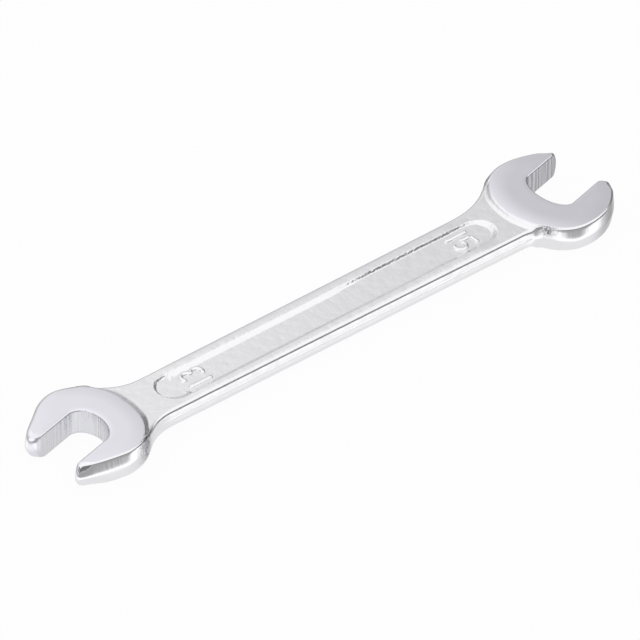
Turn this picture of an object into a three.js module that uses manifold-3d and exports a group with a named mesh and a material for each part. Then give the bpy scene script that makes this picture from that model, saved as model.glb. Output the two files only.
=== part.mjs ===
// Double open end wrench for 13 and 15 mm nuts, drop forged in one piece and plated.
// Lengths are millimetres and angles are degrees. X runs along the shank towards the larger head,
// Y runs across the faces, and Z is up, with the heads' lower faces on Z = 0.
import * as THREE from "three";
import { mergeVertices } from "three/addons/utils/BufferGeometryUtils.js";
import Module from "manifold-3d";

// The nuts it fits, across their flats.
const smallOpening = 13;
const largeOpening = 15;

// Heads: two C shapes, thicker than the shank, ground flat on both faces.
const headThickness = 7.2;
const smallHeadRadius = 15.4;
const largeHeadRadius = 16.95;
const smallHeadX = -71.3;
const smallHeadY = 0.7;
const largeHeadX = 72.3;
const largeHeadY = 0.5;
const jawAngle = 14.4;
const smallHeadEdgeRadius = 1;
const largeHeadEdgeRadius = 1.3;

// The jaws swell past the round of the head. Each ends in a nose that is rounded in plan by its
// radius, and drawn back at both faces so that it is rounded from the side too.
const smallLongJawShare = 0.2;
const smallShortJawShare = 0.25;
const largeLongJawShare = 0.075;
const largeShortJawShare = 0.05;
const smallJawBend = 2.1;
const largeJawBend = 2.9;
const jawStartAngle = 68;
const jawFullAngle = 28;
const smallLongNoseRadius = 1.1;
const smallShortNoseRadius = 2.5;
const largeLongNoseRadius = 1;
const largeShortNoseRadius = 2.1;
const longNoseDrawback = 2.3;
const shortNoseDrawback = 1.3;
const noseLength = 5;

// The back of each head is drawn in on both sides of the line along which the shank leaves it.
const smallBackShare = 0.35;
const largeBackShare = 0.26;
const smallBackAngle = 98;
const largeBackAngle = 84;
const smallBackFullAngle = 18;
const largeBackFullAngle = 7;

// Throats: a half ellipse between the two flats, leaning back towards the shank's own line.
const smallThroatDepth = 1.35;
const largeThroatDepth = 2.25;
const smallThroatRise = 4.7;
const largeThroatRise = 4;
const smallThroatLeanShare = 0.2;
const largeThroatLeanShare = 0.16;

// Shank: a flat bar that widens a little towards the larger head and flares into both heads.
const shankThickness = 5.2;
const shankHalfWidth = 7.9;
const shankWideningShare = 0.006;
const shankEdgeRadius = 0.8;
const smallFarFlare = 12;
const smallNearFlare = 10.6;
const largeFarFlare = 17.2;
const largeNearFlare = 6.4;
const flareRootAngle = 57;
const flareEndAngle = 88;
const flareBend = 2.5;
const flareInset = 0.2;
const smallShoulderShare = 0.12;
const largeShoulderShare = 0.03;

// Recess: a long round-ended panel pressed into each side of the shank.
const recessCentreX = 0.4;
const recessLength = 106;
const recessWidth = 9.5;
const recessDepth = 0.7;
const recessSlope = 0.5;

// Size numerals, raised from the floor of the recess.
const numeralHeight = 6.4;
const numeralWidth = 3.6;
const numeralStroke = 0.8;
const numeralRise = 0.35;
const numeralPairWidth = 5.8;
const smallNumeralX = -41.4;
const largeNumeralX = 43.9;

// How far a cutting solid runs past what it cuts, and a raised one runs into what carries it.
const overrun = 0.3;

const wasm = await Module();
wasm.setup();

const radians = THREE.MathUtils.degToRad;
const midHeight = headThickness / 2;

// The two heads. The long jaw is on the side that the mouth turns towards.
const smallHead = {
  opening: smallOpening,
  radius: smallHeadRadius,
  centre: new THREE.Vector2(smallHeadX, smallHeadY),
  turn: radians(180 + jawAngle),
  edgeRadius: smallHeadEdgeRadius,
  longJawShare: smallLongJawShare,
  shortJawShare: smallShortJawShare,
  jawBend: smallJawBend,
  backShare: smallBackShare,
  backAngle: smallBackAngle,
  backFullAngle: smallBackFullAngle,
  shoulderShare: smallShoulderShare,
  longNoseRadius: smallLongNoseRadius,
  shortNoseRadius: smallShortNoseRadius,
  throatDepth: smallThroatDepth,
  throatRise: smallThroatRise,
  throatLeanShare: smallThroatLeanShare,
};
const largeHead = {
  opening: largeOpening,
  radius: largeHeadRadius,
  centre: new THREE.Vector2(largeHeadX, largeHeadY),
  turn: radians(jawAngle),
  edgeRadius: largeHeadEdgeRadius,
  longJawShare: largeLongJawShare,
  shortJawShare: largeShortJawShare,
  jawBend: largeJawBend,
  backShare: largeBackShare,
  backAngle: largeBackAngle,
  backFullAngle: largeBackFullAngle,
  shoulderShare: largeShoulderShare,
  longNoseRadius: largeLongNoseRadius,
  shortNoseRadius: largeShortNoseRadius,
  throatDepth: largeThroatDepth,
  throatRise: largeThroatRise,
  throatLeanShare: largeThroatLeanShare,
};

// A closed geometry as a solid that can be cut and joined.
function toSolid(geometry) {
  geometry.deleteAttribute("normal");
  geometry.deleteAttribute("uv");
  const merged = mergeVertices(geometry);
  return new wasm.Manifold(
    new wasm.Mesh({
      numProp: 3,
      vertProperties: merged.attributes.position.array,
      triVerts: new Uint32Array(merged.index.array),
    }),
  );
}

// A solid back as a geometry that three.js can show.
function toGeometry(solid) {
  const mesh = solid.getMesh();
  const geometry = new THREE.BufferGeometry();
  geometry.setAttribute("position", new THREE.BufferAttribute(mesh.vertProperties, 3));
  geometry.setIndex(new THREE.BufferAttribute(mesh.triVerts, 1));
  geometry.computeVertexNormals();
  return geometry;
}

// An outline raised from one height to another, with its two rims rounded by the edge radius.
function plate(points, bottom, top, edgeRadius) {
  const geometry = new THREE.ExtrudeGeometry(new THREE.Shape(points), {
    depth: top - bottom - 2 * edgeRadius,
    bevelEnabled: edgeRadius > 0,
    bevelThickness: edgeRadius,
    bevelSize: edgeRadius,
    bevelOffset: -edgeRadius,
    bevelSegments: 4,
  });
  geometry.translate(0, 0, bottom + edgeRadius);
  return toSolid(geometry);
}

// Points of an arc, both ends included.
function arc(centreX, centreY, radius, from, to, steps) {
  return Array.from({ length: steps + 1 }, (_, i) => {
    const angle = from + ((to - from) * i) / steps;
    return new THREE.Vector2(centreX + radius * Math.cos(angle), centreY + radius * Math.sin(angle));
  });
}

// Distance from a head's centre to its outer edge. The angle is taken from the middle of the mouth,
// and is positive on the long jaw's side. The shank leaves at jawAngle short of straight back.
function outerRadius(head, angle, backShare = head.backShare) {
  const turned = THREE.MathUtils.euclideanModulo(angle + Math.PI, 2 * Math.PI) - Math.PI;
  const away = THREE.MathUtils.radToDeg(Math.abs(turned));
  const jawShare = turned > 0 ? head.longJawShare : head.shortJawShare;
  const jaw = Math.max(jawStartAngle - away, 0) / (jawStartAngle - jawFullAngle);
  const fromBack = THREE.MathUtils.euclideanModulo(THREE.MathUtils.radToDeg(angle) + jawAngle, 360) - 180;
  const back = 1 - THREE.MathUtils.smoothstep(Math.abs(fromBack), head.backFullAngle, head.backAngle);
  return head.radius * (1 + jawShare * jaw ** head.jawBend - backShare * back);
}

// The nose of a jaw is a circle that touches the jaw's flat and the head's outer edge.
// Its centre is where the edge, drawn in by the nose's radius, stands that radius behind the flat.
function noseOf(head, side) {
  const radius = side > 0 ? head.longNoseRadius : head.shortNoseRadius;
  const across = head.opening / 2 + radius;
  let low = radians(10);
  let high = radians(80);
  for (let i = 0; i < 40; i++) {
    const middle = (low + high) / 2;
    const reached = (outerRadius(head, side * middle) - radius) * Math.sin(middle) > across;
    low = reached ? low : middle;
    high = reached ? middle : high;
  }
  const along = across / Math.tan(low);
  return { along, across: side * across, radius, angle: low };
}

// Places points of a head's own frame, mouth towards +X, in the wrench.
function placed(head, points) {
  const origin = new THREE.Vector2();
  return points.map((p) => p.clone().rotateAround(origin, head.turn).add(head.centre));
}

// Outer edge of a head with its mouth still closed by a straight line from nose to nose.
// It is drawn in all round by the inset, and its noses are drawn back by a share of their drawback.
function blankOutline(head, inset, drawbackShare) {
  const long = noseOf(head, 1);
  const short = noseOf(head, -1);
  const outerSteps = 76;
  const from = long.angle;
  const to = 2 * Math.PI - short.angle;
  const outer = Array.from({ length: outerSteps - 1 }, (_, i) => {
    const angle = from + ((to - from) * (i + 1)) / outerSteps;
    const radius = outerRadius(head, angle) - inset;
    return new THREE.Vector2(radius * Math.cos(angle), radius * Math.sin(angle));
  });
  const points = [
    ...arc(long.along, long.across, long.radius - inset, 0, long.angle, 5),
    ...outer,
    ...arc(short.along, short.across, short.radius - inset, -short.angle, 0, 5),
  ];
  for (const p of points) {
    const nose = p.y > 0 ? long : short;
    const drawback = p.y > 0 ? longNoseDrawback : shortNoseDrawback;
    const tip = nose.along + nose.radius;
    p.x -= drawback * drawbackShare * THREE.MathUtils.smoothstep(p.x, tip - noseLength, tip);
  }
  return placed(head, points);
}

// A head before its slot is cut: rings of its outline, stacked from the lower face to the upper,
// with the rims rounded by quarter circles and the noses by quarter ellipses.
function headBlank(head) {
  const straight = midHeight - head.edgeRadius;
  const rim = arc(0, 0, 1, 0, Math.PI / 2, 4).map((p) => ({
    height: straight + head.edgeRadius * p.y,
    inset: head.edgeRadius * (1 - p.x),
  }));
  const upper = [{ height: straight * 0.45, inset: 0 }, { height: straight * 0.75, inset: 0 }, ...rim];
  const lower = upper.map((level) => ({ height: -level.height, inset: level.inset })).reverse();
  const rings = [...lower, { height: 0, inset: 0 }, ...upper].map(({ height, inset }) => {
    const drawbackShare = 1 - Math.sqrt(1 - (height / midHeight) ** 2);
    return blankOutline(head, inset, drawbackShare).map(
      (p) => new THREE.Vector3(p.x, p.y, midHeight + height),
    );
  });
  return stackedSolid(rings, head.centre);
}

// A closed solid through rings of equal counts, its two ends closed by fans round a middle point.
function stackedSolid(rings, middle) {
  const count = rings[0].length;
  const last = rings.length - 1;
  const points = rings.flat();
  const lowerMiddle = points.push(new THREE.Vector3(middle.x, middle.y, rings[0][0].z)) - 1;
  const upperMiddle = points.push(new THREE.Vector3(middle.x, middle.y, rings[last][0].z)) - 1;
  const index = [];
  for (let i = 0; i < count; i++) {
    const next = (i + 1) % count;
    index.push(lowerMiddle, next, i);
    index.push(upperMiddle, last * count + i, last * count + next);
    for (let level = 0; level < last; level++) {
      const a = level * count + i;
      const b = level * count + next;
      index.push(a, b, b + count);
      index.push(a, b + count, a + count);
    }
  }
  const geometry = new THREE.BufferGeometry().setFromPoints(points);
  geometry.setIndex(index);
  return toSolid(geometry);
}

// Outline of the slot between the jaws: inner half of each nose, the two flats and the throat.
function slotOutline(head) {
  const long = noseOf(head, 1);
  const short = noseOf(head, -1);
  const outside = 2 * head.radius;
  const throatSteps = 24;
  const throat = Array.from({ length: throatSteps + 1 }, (_, i) => {
    const angle = Math.PI / 2 - (Math.PI * i) / throatSteps;
    const across = (head.opening / 2) * Math.sin(angle);
    const rise = head.throatRise * (1 - Math.cos(angle));
    return new THREE.Vector2(rise - head.throatDepth + head.throatLeanShare * across, across);
  });
  return placed(head, [
    new THREE.Vector2(outside, long.across),
    ...arc(long.along, long.across, long.radius, 0, -Math.PI / 2, 6),
    ...throat,
    ...arc(short.along, short.across, short.radius, Math.PI / 2, 0, 6),
    new THREE.Vector2(outside, short.across),
  ]).reverse();
}

// Half width of the plain bar at a place along it.
function barHalfWidth(x) {
  return shankHalfWidth + shankWideningShare * x;
}

// A place on the shank's shoulder round a head, at an angle from the line back to the shank.
// The shoulder is drawn in less than the head at the flare's root, and by the same at its end.
function shoulderPoint(head, towards, side, angle) {
  const direction = new THREE.Vector2(-towards * Math.cos(angle), side * Math.sin(angle));
  const merged = (THREE.MathUtils.radToDeg(angle) - flareRootAngle) / (flareEndAngle - flareRootAngle);
  const share = THREE.MathUtils.lerp(head.shoulderShare, head.backShare, merged ** 2);
  const radius = outerRadius(head, direction.angle() - head.turn, share) - flareInset;
  return direction.multiplyScalar(radius).add(head.centre);
}

// One flared end of the shank on one side, from the bar out to the round of the head.
// Towards is the direction along X in which the head lies, and side is 1 for far, -1 for near.
function flareEdge(head, towards, side, flareLength) {
  const steps = 14;
  const root = shoulderPoint(head, towards, side, radians(flareRootAngle));
  const climb = side * root.y - barHalfWidth(root.x);
  const curve = Array.from({ length: steps }, (_, i) => {
    const t = i / steps;
    const x = root.x - towards * flareLength * (1 - t);
    return new THREE.Vector2(x, side * (barHalfWidth(x) + climb * t ** flareBend));
  });
  const shoulderSteps = 6;
  const shoulder = Array.from({ length: shoulderSteps + 1 }, (_, i) => {
    const angle = flareRootAngle + ((flareEndAngle - flareRootAngle) * i) / shoulderSteps;
    return shoulderPoint(head, towards, side, radians(angle));
  });
  return [...curve, ...shoulder];
}

// Outline of the shank with its four flares, running inside both heads.
function shankOutline() {
  return [
    ...flareEdge(smallHead, -1, -1, smallNearFlare).reverse(),
    ...flareEdge(largeHead, 1, -1, largeNearFlare),
    ...flareEdge(largeHead, 1, 1, largeFarFlare).reverse(),
    ...flareEdge(smallHead, -1, 1, smallFarFlare),
  ];
}

// The solid that presses a recess into the upper side: round-ended, with sloping walls.
function recessSolid() {
  const radius = recessWidth / 2;
  const reach = recessLength / 2 - radius;
  const outline = [
    ...arc(recessCentreX + reach, 0, radius, -Math.PI / 2, Math.PI / 2, 16),
    ...arc(recessCentreX - reach, 0, radius, Math.PI / 2, (3 * Math.PI) / 2, 16),
  ];
  const surface = shankThickness / 2;
  const geometry = new THREE.ExtrudeGeometry(new THREE.Shape(outline), {
    depth: overrun,
    bevelThickness: recessDepth,
    bevelSize: recessSlope,
    bevelOffset: -recessSlope,
    bevelSegments: 3,
  });
  geometry.translate(0, 0, surface);
  return toSolid(geometry);
}

// A stroke of one width along a line of points, with square ends.
function stroke(points) {
  const half = numeralStroke / 2;
  const normals = points.map((_, i) => {
    const before = points[Math.max(i - 1, 0)];
    const after = points[Math.min(i + 1, points.length - 1)];
    const along = after.clone().sub(before).normalize();
    return new THREE.Vector2(-along.y, along.x).multiplyScalar(half);
  });
  const left = points.map((p, i) => p.clone().add(normals[i]));
  const right = points.map((p, i) => p.clone().sub(normals[i]));
  return [...right, ...left.reverse()];
}

// Strokes of the three digits, each centred on the origin and upright along +Y.
const strokeTop = (numeralHeight - numeralStroke) / 2;
const strokeSide = (numeralWidth - numeralStroke) / 2;
const bowlRadius = strokeTop / 2;
const fiveRadius = strokeSide;
const fiveCentreY = fiveRadius - strokeTop;
const digits = {
  1: [
    [new THREE.Vector2(0, -numeralHeight / 2), new THREE.Vector2(0, numeralHeight / 2)],
  ],
  3: [
    arc(0, bowlRadius, bowlRadius, radians(150), radians(-90), 14),
    arc(0, -bowlRadius, bowlRadius, radians(90), radians(-150), 14),
  ],
  5: [
    [new THREE.Vector2(strokeSide, strokeTop), new THREE.Vector2(-strokeSide - numeralStroke / 2, strokeTop)],
    [new THREE.Vector2(-strokeSide, strokeTop), new THREE.Vector2(-strokeSide, fiveCentreY + fiveRadius / 2)],
    arc(0, fiveCentreY, fiveRadius, radians(145), radians(-148), 15),
  ],
};

// A pair of numerals on the floor of the upper recess, its reading direction turned as stated.
function numeralPair(tens, ones, centreX, turn) {
  const floor = shankThickness / 2 - recessDepth;
  const places = [
    [tens, (numeralStroke - numeralPairWidth) / 2],
    [ones, (numeralPairWidth - numeralWidth) / 2],
  ];
  const origin = new THREE.Vector2();
  const middle = new THREE.Vector2(centreX, 0);
  const solids = places.flatMap(([digit, shift]) =>
    digits[digit].map((line) => {
      const outline = stroke(line).map((p) =>
        new THREE.Vector2(p.x + shift, p.y).rotateAround(origin, turn).add(middle),
      );
      return plate(outline, floor - overrun, floor + numeralRise, 0);
    }),
  );
  return solids.reduce((all, solid) => all.add(solid));
}

// What lies on the upper side, turned over about the wrench's length to serve the lower side too.
function bothSides(upper) {
  return upper.add(upper.rotate([180, 0, 0])).translate([0, 0, midHeight]);
}

function buildWrench() {
  const shank = plate(
    shankOutline(),
    midHeight - shankThickness / 2,
    midHeight + shankThickness / 2,
    shankEdgeRadius,
  );
  const heads = [smallHead, largeHead];
  const blanks = heads.map(headBlank);
  const slots = heads.map((head) => plate(slotOutline(head), -overrun, headThickness + overrun, 0));
  const forged = blanks.reduce((all, blank) => all.add(blank), shank);
  const cut = slots.reduce((all, slot) => all.subtract(slot), forged);
  const pressed = cut.subtract(bothSides(recessSolid()));
  const smallMark = bothSides(numeralPair(1, 3, smallNumeralX, Math.PI / 2));
  const largeMark = bothSides(numeralPair(1, 5, largeNumeralX, -Math.PI / 2));
  return pressed.add(smallMark).add(largeMark);
}

const geometry = toGeometry(buildWrench());

// The frame's origin is the middle of the wrench's own box, at the lower faces.
geometry.computeBoundingBox();
const boxCentre = geometry.boundingBox.getCenter(new THREE.Vector3());
geometry.translate(-boxCentre.x, -boxCentre.y, 0);

const wrench = new THREE.Mesh(
  geometry,
  new THREE.MeshStandardMaterial({ color: 0xc6c5ca, roughness: 0.2, metalness: 1 }),
);
wrench.name = "wrench_body";

const part = new THREE.Group();
part.add(wrench);

export default part;
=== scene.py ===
"""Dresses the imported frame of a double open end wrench: its plated forging, numerals and studio."""

import math

import bmesh
import bpy
import numpy as np
from bpy.props import FloatProperty, FloatVectorProperty, PointerProperty
from mathutils import Matrix, Vector


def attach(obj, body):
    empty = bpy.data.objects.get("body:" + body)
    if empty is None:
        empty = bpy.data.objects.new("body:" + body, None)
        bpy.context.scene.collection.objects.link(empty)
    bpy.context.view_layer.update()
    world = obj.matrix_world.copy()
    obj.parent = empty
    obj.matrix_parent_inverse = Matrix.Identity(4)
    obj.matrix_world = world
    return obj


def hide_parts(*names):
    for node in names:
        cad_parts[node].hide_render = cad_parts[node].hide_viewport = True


bl_info = {
    "name": "Open End Wrench",
    "version": (1, 0, 0),
    "blender": (4, 5, 0),
    "location": "View3D > Sidebar > Wrench",
    "description": "Makes the forging, the raised numerals and the studio of a double open end wrench",
    "category": "Object",
}

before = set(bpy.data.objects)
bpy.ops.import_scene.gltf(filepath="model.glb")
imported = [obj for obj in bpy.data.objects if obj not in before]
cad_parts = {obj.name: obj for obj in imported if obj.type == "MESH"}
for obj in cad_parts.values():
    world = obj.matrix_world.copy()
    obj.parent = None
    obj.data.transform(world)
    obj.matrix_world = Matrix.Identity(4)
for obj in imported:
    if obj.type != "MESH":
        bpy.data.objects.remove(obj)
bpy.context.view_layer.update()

MM = 0.001
NODE = "wrench_body"
BODY = "root"


# Small helpers


def linear(hex_colour):
    """The linear colour of an sRGB hex value such as E6E5E8, as four numbers."""
    parts = [int(hex_colour[i : i + 2], 16) / 255 for i in (0, 2, 4)]
    return [p / 12.92 if p <= 0.04045 else ((p + 0.055) / 1.055) ** 2.4 for p in parts] + [1.0]


def smooth(t):
    """Rises from 0 to 1 as t does, level at both ends."""
    t = np.clip(t, 0, 1)
    return t * t * (3 - 2 * t)


def mix(a, b, t):
    """The value at the share t of the way from a to b."""
    return a + (b - a) * t


def unit(v):
    """Vectors of length 1 along the rows of v."""
    return v / np.maximum(np.linalg.norm(v, axis=-1, keepdims=True), 1e-12)


# The outline of the wrench

# Lengths from here to the materials are millimetres, as in the part's source, and angles are degrees
# until they are used. A head's own frame has its mouth towards +X and the long jaw on its +Y side.
# Angles of a jaw are counted from the mouth's middle, and those of a shoulder from the shank.
JAW_ANGLE = 14.4
JAW_START = 68.0
JAW_FULL = 28.0
JAW_END = {1: 66, -1: 78}
BUMP_ANGLE = 92
BUMP_WIDTH = 22
NOSE_ANGLES = (10, 80)
NOSE_TRIES = 3000
NOSE_GATHER = 0.6
NOSE_LENGTH = 2.2
TIP_EDGE_SHARE = 0.4
FLARE_END = 88.0
FLARE_START = 57.0
FLARE_BEND = 2.5
FLARE_INSET = 0.2
SHOULDER_BLEND = 0.25
BAR_WIDENING = 0.006
RIM_ANGLES = (100, 30)
RIM_POINTS = (24, 260)
SLOT_POINTS = (24, 12, 60)


class Head:
    """One head: its sizes, its place on the wrench, and the direction its mouth turns to.

    Shares are parts of the head's radius, and a lean is the way in for each millimetre up. Sizes by
    side are given for 1, the long jaw, and -1, the short jaw. Those by side and level also tell 1,
    the upper surface, from -1, the lower one. The flare's length is given for the far half, 1, and
    the near half, -1. The rim is the line that the face's edge follows. It has an inset, and the
    back's share, full angle and last angle as the outline has them. The painted shade in the corner
    of head and shank has its place and spread along the edge from the flare's root, and its lowest
    height.
    """

    def __init__(self, opening, radius, centre, turn, **sizes):
        self.opening = opening
        self.radius = radius
        self.centre = np.array(centre, float)
        self.forward = np.array([math.cos(math.radians(turn)), math.sin(math.radians(turn))])
        self.__dict__.update(sizes)

    def place(self, points):
        """Points of the head's own frame, turned and moved to their place on the wrench."""
        c, s = self.forward
        return points @ np.array([[c, s], [-s, c]]) + self.centre

    def local(self, points):
        """Points of the wrench in the head's own frame."""
        c, s = self.forward
        return (points - self.centre) @ np.array([[c, -s], [s, c]])


def edge_radius_at(head, angle, share=None, back_range=None):
    """Distance from a head's centre to its outer edge, by angle in radians from the mouth's middle.

    It is the head's radius, more by a power of the way into the jaw on each side, and less by a
    smooth step on both sides of the line along which the shank leaves. The short jaw's side can be
    fuller by a bell curve round 92 degrees from the mouth.
    """
    degrees = np.degrees(angle)
    turned = (degrees + 180) % 360 - 180
    jaw_share = np.where(turned > 0, head.jaw_share[1], head.jaw_share[-1])
    jaw = np.clip(JAW_START - np.abs(turned), 0, None) / (JAW_START - JAW_FULL)
    from_back = np.abs((degrees + JAW_ANGLE) % 360 - 180)
    full, end = back_range or (head.back_full, head.back_angle)
    back = 1 - smooth((from_back - full) / (end - full))
    share = head.back_share if share is None else share
    bell = np.exp(-(((np.abs(turned) - BUMP_ANGLE) / BUMP_WIDTH) ** 2))
    fuller = np.where(turned < 0, head.bump, 0) * bell
    return head.radius * (1 + jaw_share * jaw**head.jaw_bend - share * back) + fuller


def nose_of(head, side):
    """Centre, radius and leaving angle of the nose: the circle that touches jaw flat and outer edge."""
    radius = head.nose[side]
    across = head.opening / 2 + radius
    angles = np.radians(np.linspace(*NOSE_ANGLES, NOSE_TRIES))
    reach = (edge_radius_at(head, side * angles) - radius) * np.sin(angles) - across
    angle = float(angles[np.argmax(reach > 0)])
    return across / math.tan(angle), across, radius, angle


def nose_points(head, side, turn):
    """Points of the nose in the head's own frame, by angle in radians from its very tip."""
    along, across, radius, _ = nose_of(head, side)
    return np.stack([along + radius * np.cos(turn), side * (across + radius * np.sin(turn))], 1)


def round_points(side, radii, angles):
    """Points in the head's own frame at distances and angles in radians from the mouth's middle."""
    return np.stack([radii * np.cos(angles), side * radii * np.sin(angles)], 1)


def shoulder_radius(head, angle):
    """Distance from a head's centre to the edge of the shank's shoulder round it.

    The angle is in degrees from the line back to the shank. The shoulder is drawn in less than the
    head where the flare starts, and by the same where it ends.
    """
    merged = (angle - FLARE_START) / (FLARE_END - FLARE_START)
    own = np.where(angle > 0, head.shoulder_share[-1], head.shoulder_share[1])
    share = mix(own, head.back_share, np.clip(merged, 0, 1) ** 2)
    return edge_radius_at(head, np.radians(180 - JAW_ANGLE + angle), share) - FLARE_INSET


def soft_larger(a, b, width):
    """The larger of two values, with the corner between them rounded over the width."""
    h = np.clip(width - np.abs(a - b), 0, None)
    return np.maximum(a, b) + h * h / (4 * width)


def spaced(start, stop, count, ends=0.0):
    """Values from start to stop without the last, drawn towards the start by the share ends."""
    t = np.arange(count) / count
    return mix(start, stop, (1 - ends) * t + ends * (1 - np.cos(t * np.pi / 2)))


class Plan:
    """The wrench seen from above: both heads, the bar between them, and lines worked out from them."""

    def __init__(self, size):
        k = 1 / MM
        self.mid = size.head_thickness * k / 2
        self.bar_mid = size.shank_thickness * k / 2
        self.bar_half = size.shank_half_width * k
        self.bar_edge = size.shank_edge_radius * k
        self.recess_reach = (size.recess_length * k - size.recess_width * k) / 2
        self.recess_half = size.recess_width * k / 2
        self.recess_depth = size.recess_depth * k
        self.recess_x = 0.4
        self.bar_lean = 0.08
        self.head_lean_start = 0.3
        self.ridge = 0.03
        small = Head(
            size.small_opening * k,
            size.small_head_radius * k,
            (-71.3, 0.7),
            180 + JAW_ANGLE,
            towards=-1,
            jaw_share={1: 0.2, -1: 0.25},
            jaw_bend=2.1,
            back_share=0.35,
            back_angle=98,
            back_full=18,
            bump=0.5,
            shoulder_share={1: 0.12, -1: 0.12},
            root={1: 57, -1: 57},
            flare={1: 12.0, -1: 10.6},
            nose={1: 1.1, -1: 2.5},
            throat_depth=1.35,
            throat_rise=4.7,
            throat_lean=0.2,
            inner_edge={1: 0.6, -1: 0.45},
            outer_edge={1: 0.45, -1: 1.1},
            outer_lean={(1, 1): 0.14, (1, -1): 0.1, (-1, 1): 0.08, (-1, -1): 0.1},
            drawback={(1, 1): 1.9, (1, -1): 3.5, (-1, 1): 1.2, (-1, -1): 2.5},
            rim={1: (0.2, 0.331, 5, 104), -1: (1.0, 0.279, 0, 98)},
            # Place, spread and lowest height of the painted shade in the corner of head and shank.
            corner_shade=(-2.9, 3.0, -3.0),
            dome=0.07,
            dome_reach=4.5,
        )
        large = Head(
            size.large_opening * k,
            size.large_head_radius * k,
            (72.3, 0.5),
            JAW_ANGLE,
            towards=1,
            jaw_share={1: 0.075, -1: 0.05},
            jaw_bend=2.9,
            back_share=0.26,
            back_angle=84,
            back_full=7,
            bump=0.0,
            shoulder_share={1: 0.03, -1: 0.26},
            root={1: 57, -1: 47},
            flare={1: 17.2, -1: 4.9},
            nose={1: 1.0, -1: 2.1},
            throat_depth=2.25,
            throat_rise=4.0,
            throat_lean=0.16,
            inner_edge={1: 0.45, -1: 0.8},
            outer_edge={1: 1.0, -1: 0.55},
            outer_lean={(1, 1): 0.12, (1, -1): 0.12, (-1, 1): 0.12, (-1, -1): 0.16},
            drawback={(1, 1): 1.7, (1, -1): 1.7, (-1, 1): 1.5, (-1, -1): 1.8},
            rim={1: (1.0, 0.174, 4, 84), -1: (0.35, 0.212, 11, 90)},
            # Place, spread and lowest height of the painted shade in the corner of head and shank.
            corner_shade=(-0.7, 2.0, 0.8),
            dome=0.14,
            dome_reach=5.0,
        )
        self.heads = (small, large)
        for head in self.heads:
            self.draw_rim(head)

    def draw_rim(self, head):
        """Works out the rim of a head and the line of its slot, which heights are measured from."""
        rims, slots = [], []
        for side in (1, -1):
            leave = nose_of(head, side)[3]
            inset, share, full, end = head.rim[side]
            angles = np.linspace(leave, math.pi, RIM_POINTS[1])
            from_back = 180 - side * JAW_ANGLE - np.degrees(angles)
            radii = edge_radius_at(head, side * angles, share, (full, end))
            radii = radii - inset * smooth((RIM_ANGLES[0] - np.abs(from_back)) / RIM_ANGLES[1])
            nose = nose_points(head, side, np.linspace(0, leave, RIM_POINTS[0]))
            rims.append(np.vstack([nose, round_points(side, radii, angles)]))
            slots.append(head.local(self.slot_edge(head, side * head.towards, SLOT_POINTS)))
        head.slot_line = head.place(np.vstack([slots[0], slots[1][::-1]]))
        head.edge_line = head.place(np.vstack([rims[0], rims[1][::-1]]))

    def bar_at(self, x):
        """Half width of the plain bar at a place along it."""
        return self.bar_half + BAR_WIDENING * x

    def jaw_side(self, head, half):
        """1 if the jaw in that half of the wrench is the head's long jaw, -1 if it is the short one."""
        return half * head.towards

    def tip_edge(self, head, side):
        """Radius of the rounding at the very tip of a jaw, between those of its two edges."""
        return min((head.outer_edge[side] + head.inner_edge[side]) / 2, TIP_EDGE_SHARE * head.nose[side])

    def flare_root(self, head, half):
        """The place on the shank's shoulder where the flare leaves the head."""
        side = self.jaw_side(head, half)
        radians = math.radians(head.root[side])
        direction = np.array([-head.towards * math.cos(radians), half * math.sin(radians)])
        return head.centre + direction * shoulder_radius(head, -side * head.root[side])

    def flare(self, head, half, x):
        """The shank's edge between its plain bar and the shoulder: it climbs by a power of the way."""
        root = self.flare_root(head, half)
        climb = half * root[1] - self.bar_at(root[0])
        start = root[0] - head.towards * head.flare[half]
        t = np.clip((x - start) * head.towards / head.flare[half], 0, 1)
        return half * (self.bar_at(x) + climb * t**FLARE_BEND)

    def head_edge(self, head, half, steps):
        """A head's outer edge in one half, from the nose's tip to the flare's root.

        Steps gives the counts along the nose, the jaw, and the round from there to the root.
        """
        side = self.jaw_side(head, half)
        leave = nose_of(head, side)[3]
        jaw_end = math.radians(JAW_END[side])
        root = math.radians(180 - side * JAW_ANGLE - head.root[side])
        angles = np.append(spaced(leave, jaw_end, steps[1]), np.linspace(jaw_end, root, steps[2] + 1))
        own = edge_radius_at(head, side * angles)
        from_back = np.abs(180 - side * JAW_ANGLE - np.degrees(angles))
        shoulder = soft_larger(own, shoulder_radius(head, -side * from_back), SHOULDER_BLEND)
        radii = np.where(from_back < FLARE_END, shoulder, own)
        nose = nose_points(head, side, spaced(0, leave, steps[0], NOSE_GATHER))
        return head.place(np.concatenate([nose, round_points(side, radii, angles)]))

    def slot_edge(self, head, half, steps):
        """The jaw's inner edge in one half, from the nose's tip along the flat to the throat's middle."""
        side = self.jaw_side(head, half)
        nose = nose_points(head, side, -spaced(0, math.pi / 2, steps[0], NOSE_GATHER))
        turn = np.linspace(math.pi / 2, 0, steps[2] + 1)
        across = head.opening / 2 * np.sin(turn)
        rise = head.throat_rise * (1 - np.cos(turn)) - head.throat_depth
        throat = np.stack([rise + side * head.throat_lean * across, side * across], 1)
        flat_from = np.array([nose_of(head, side)[0], side * head.opening / 2])
        flat = mix(flat_from, throat[0], spaced(0, 1, steps[1])[:, None])
        return head.place(np.concatenate([nose, flat, throat]))


def distance_to(points, line, chunk=4000):
    """The least distance from each point to a line of straight pieces."""
    start, step = line[:-1], np.diff(line, axis=0)
    square = np.maximum((step**2).sum(1), 1e-12)
    found = np.empty(len(points))
    for i in range(0, len(points), chunk):
        offset = points[i : i + chunk, None] - start
        t = np.clip((offset * step).sum(2) / square, 0, 1)
        found[i : i + chunk] = np.sqrt(((offset - t[..., None] * step) ** 2).sum(2)).min(1)
    return found


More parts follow.
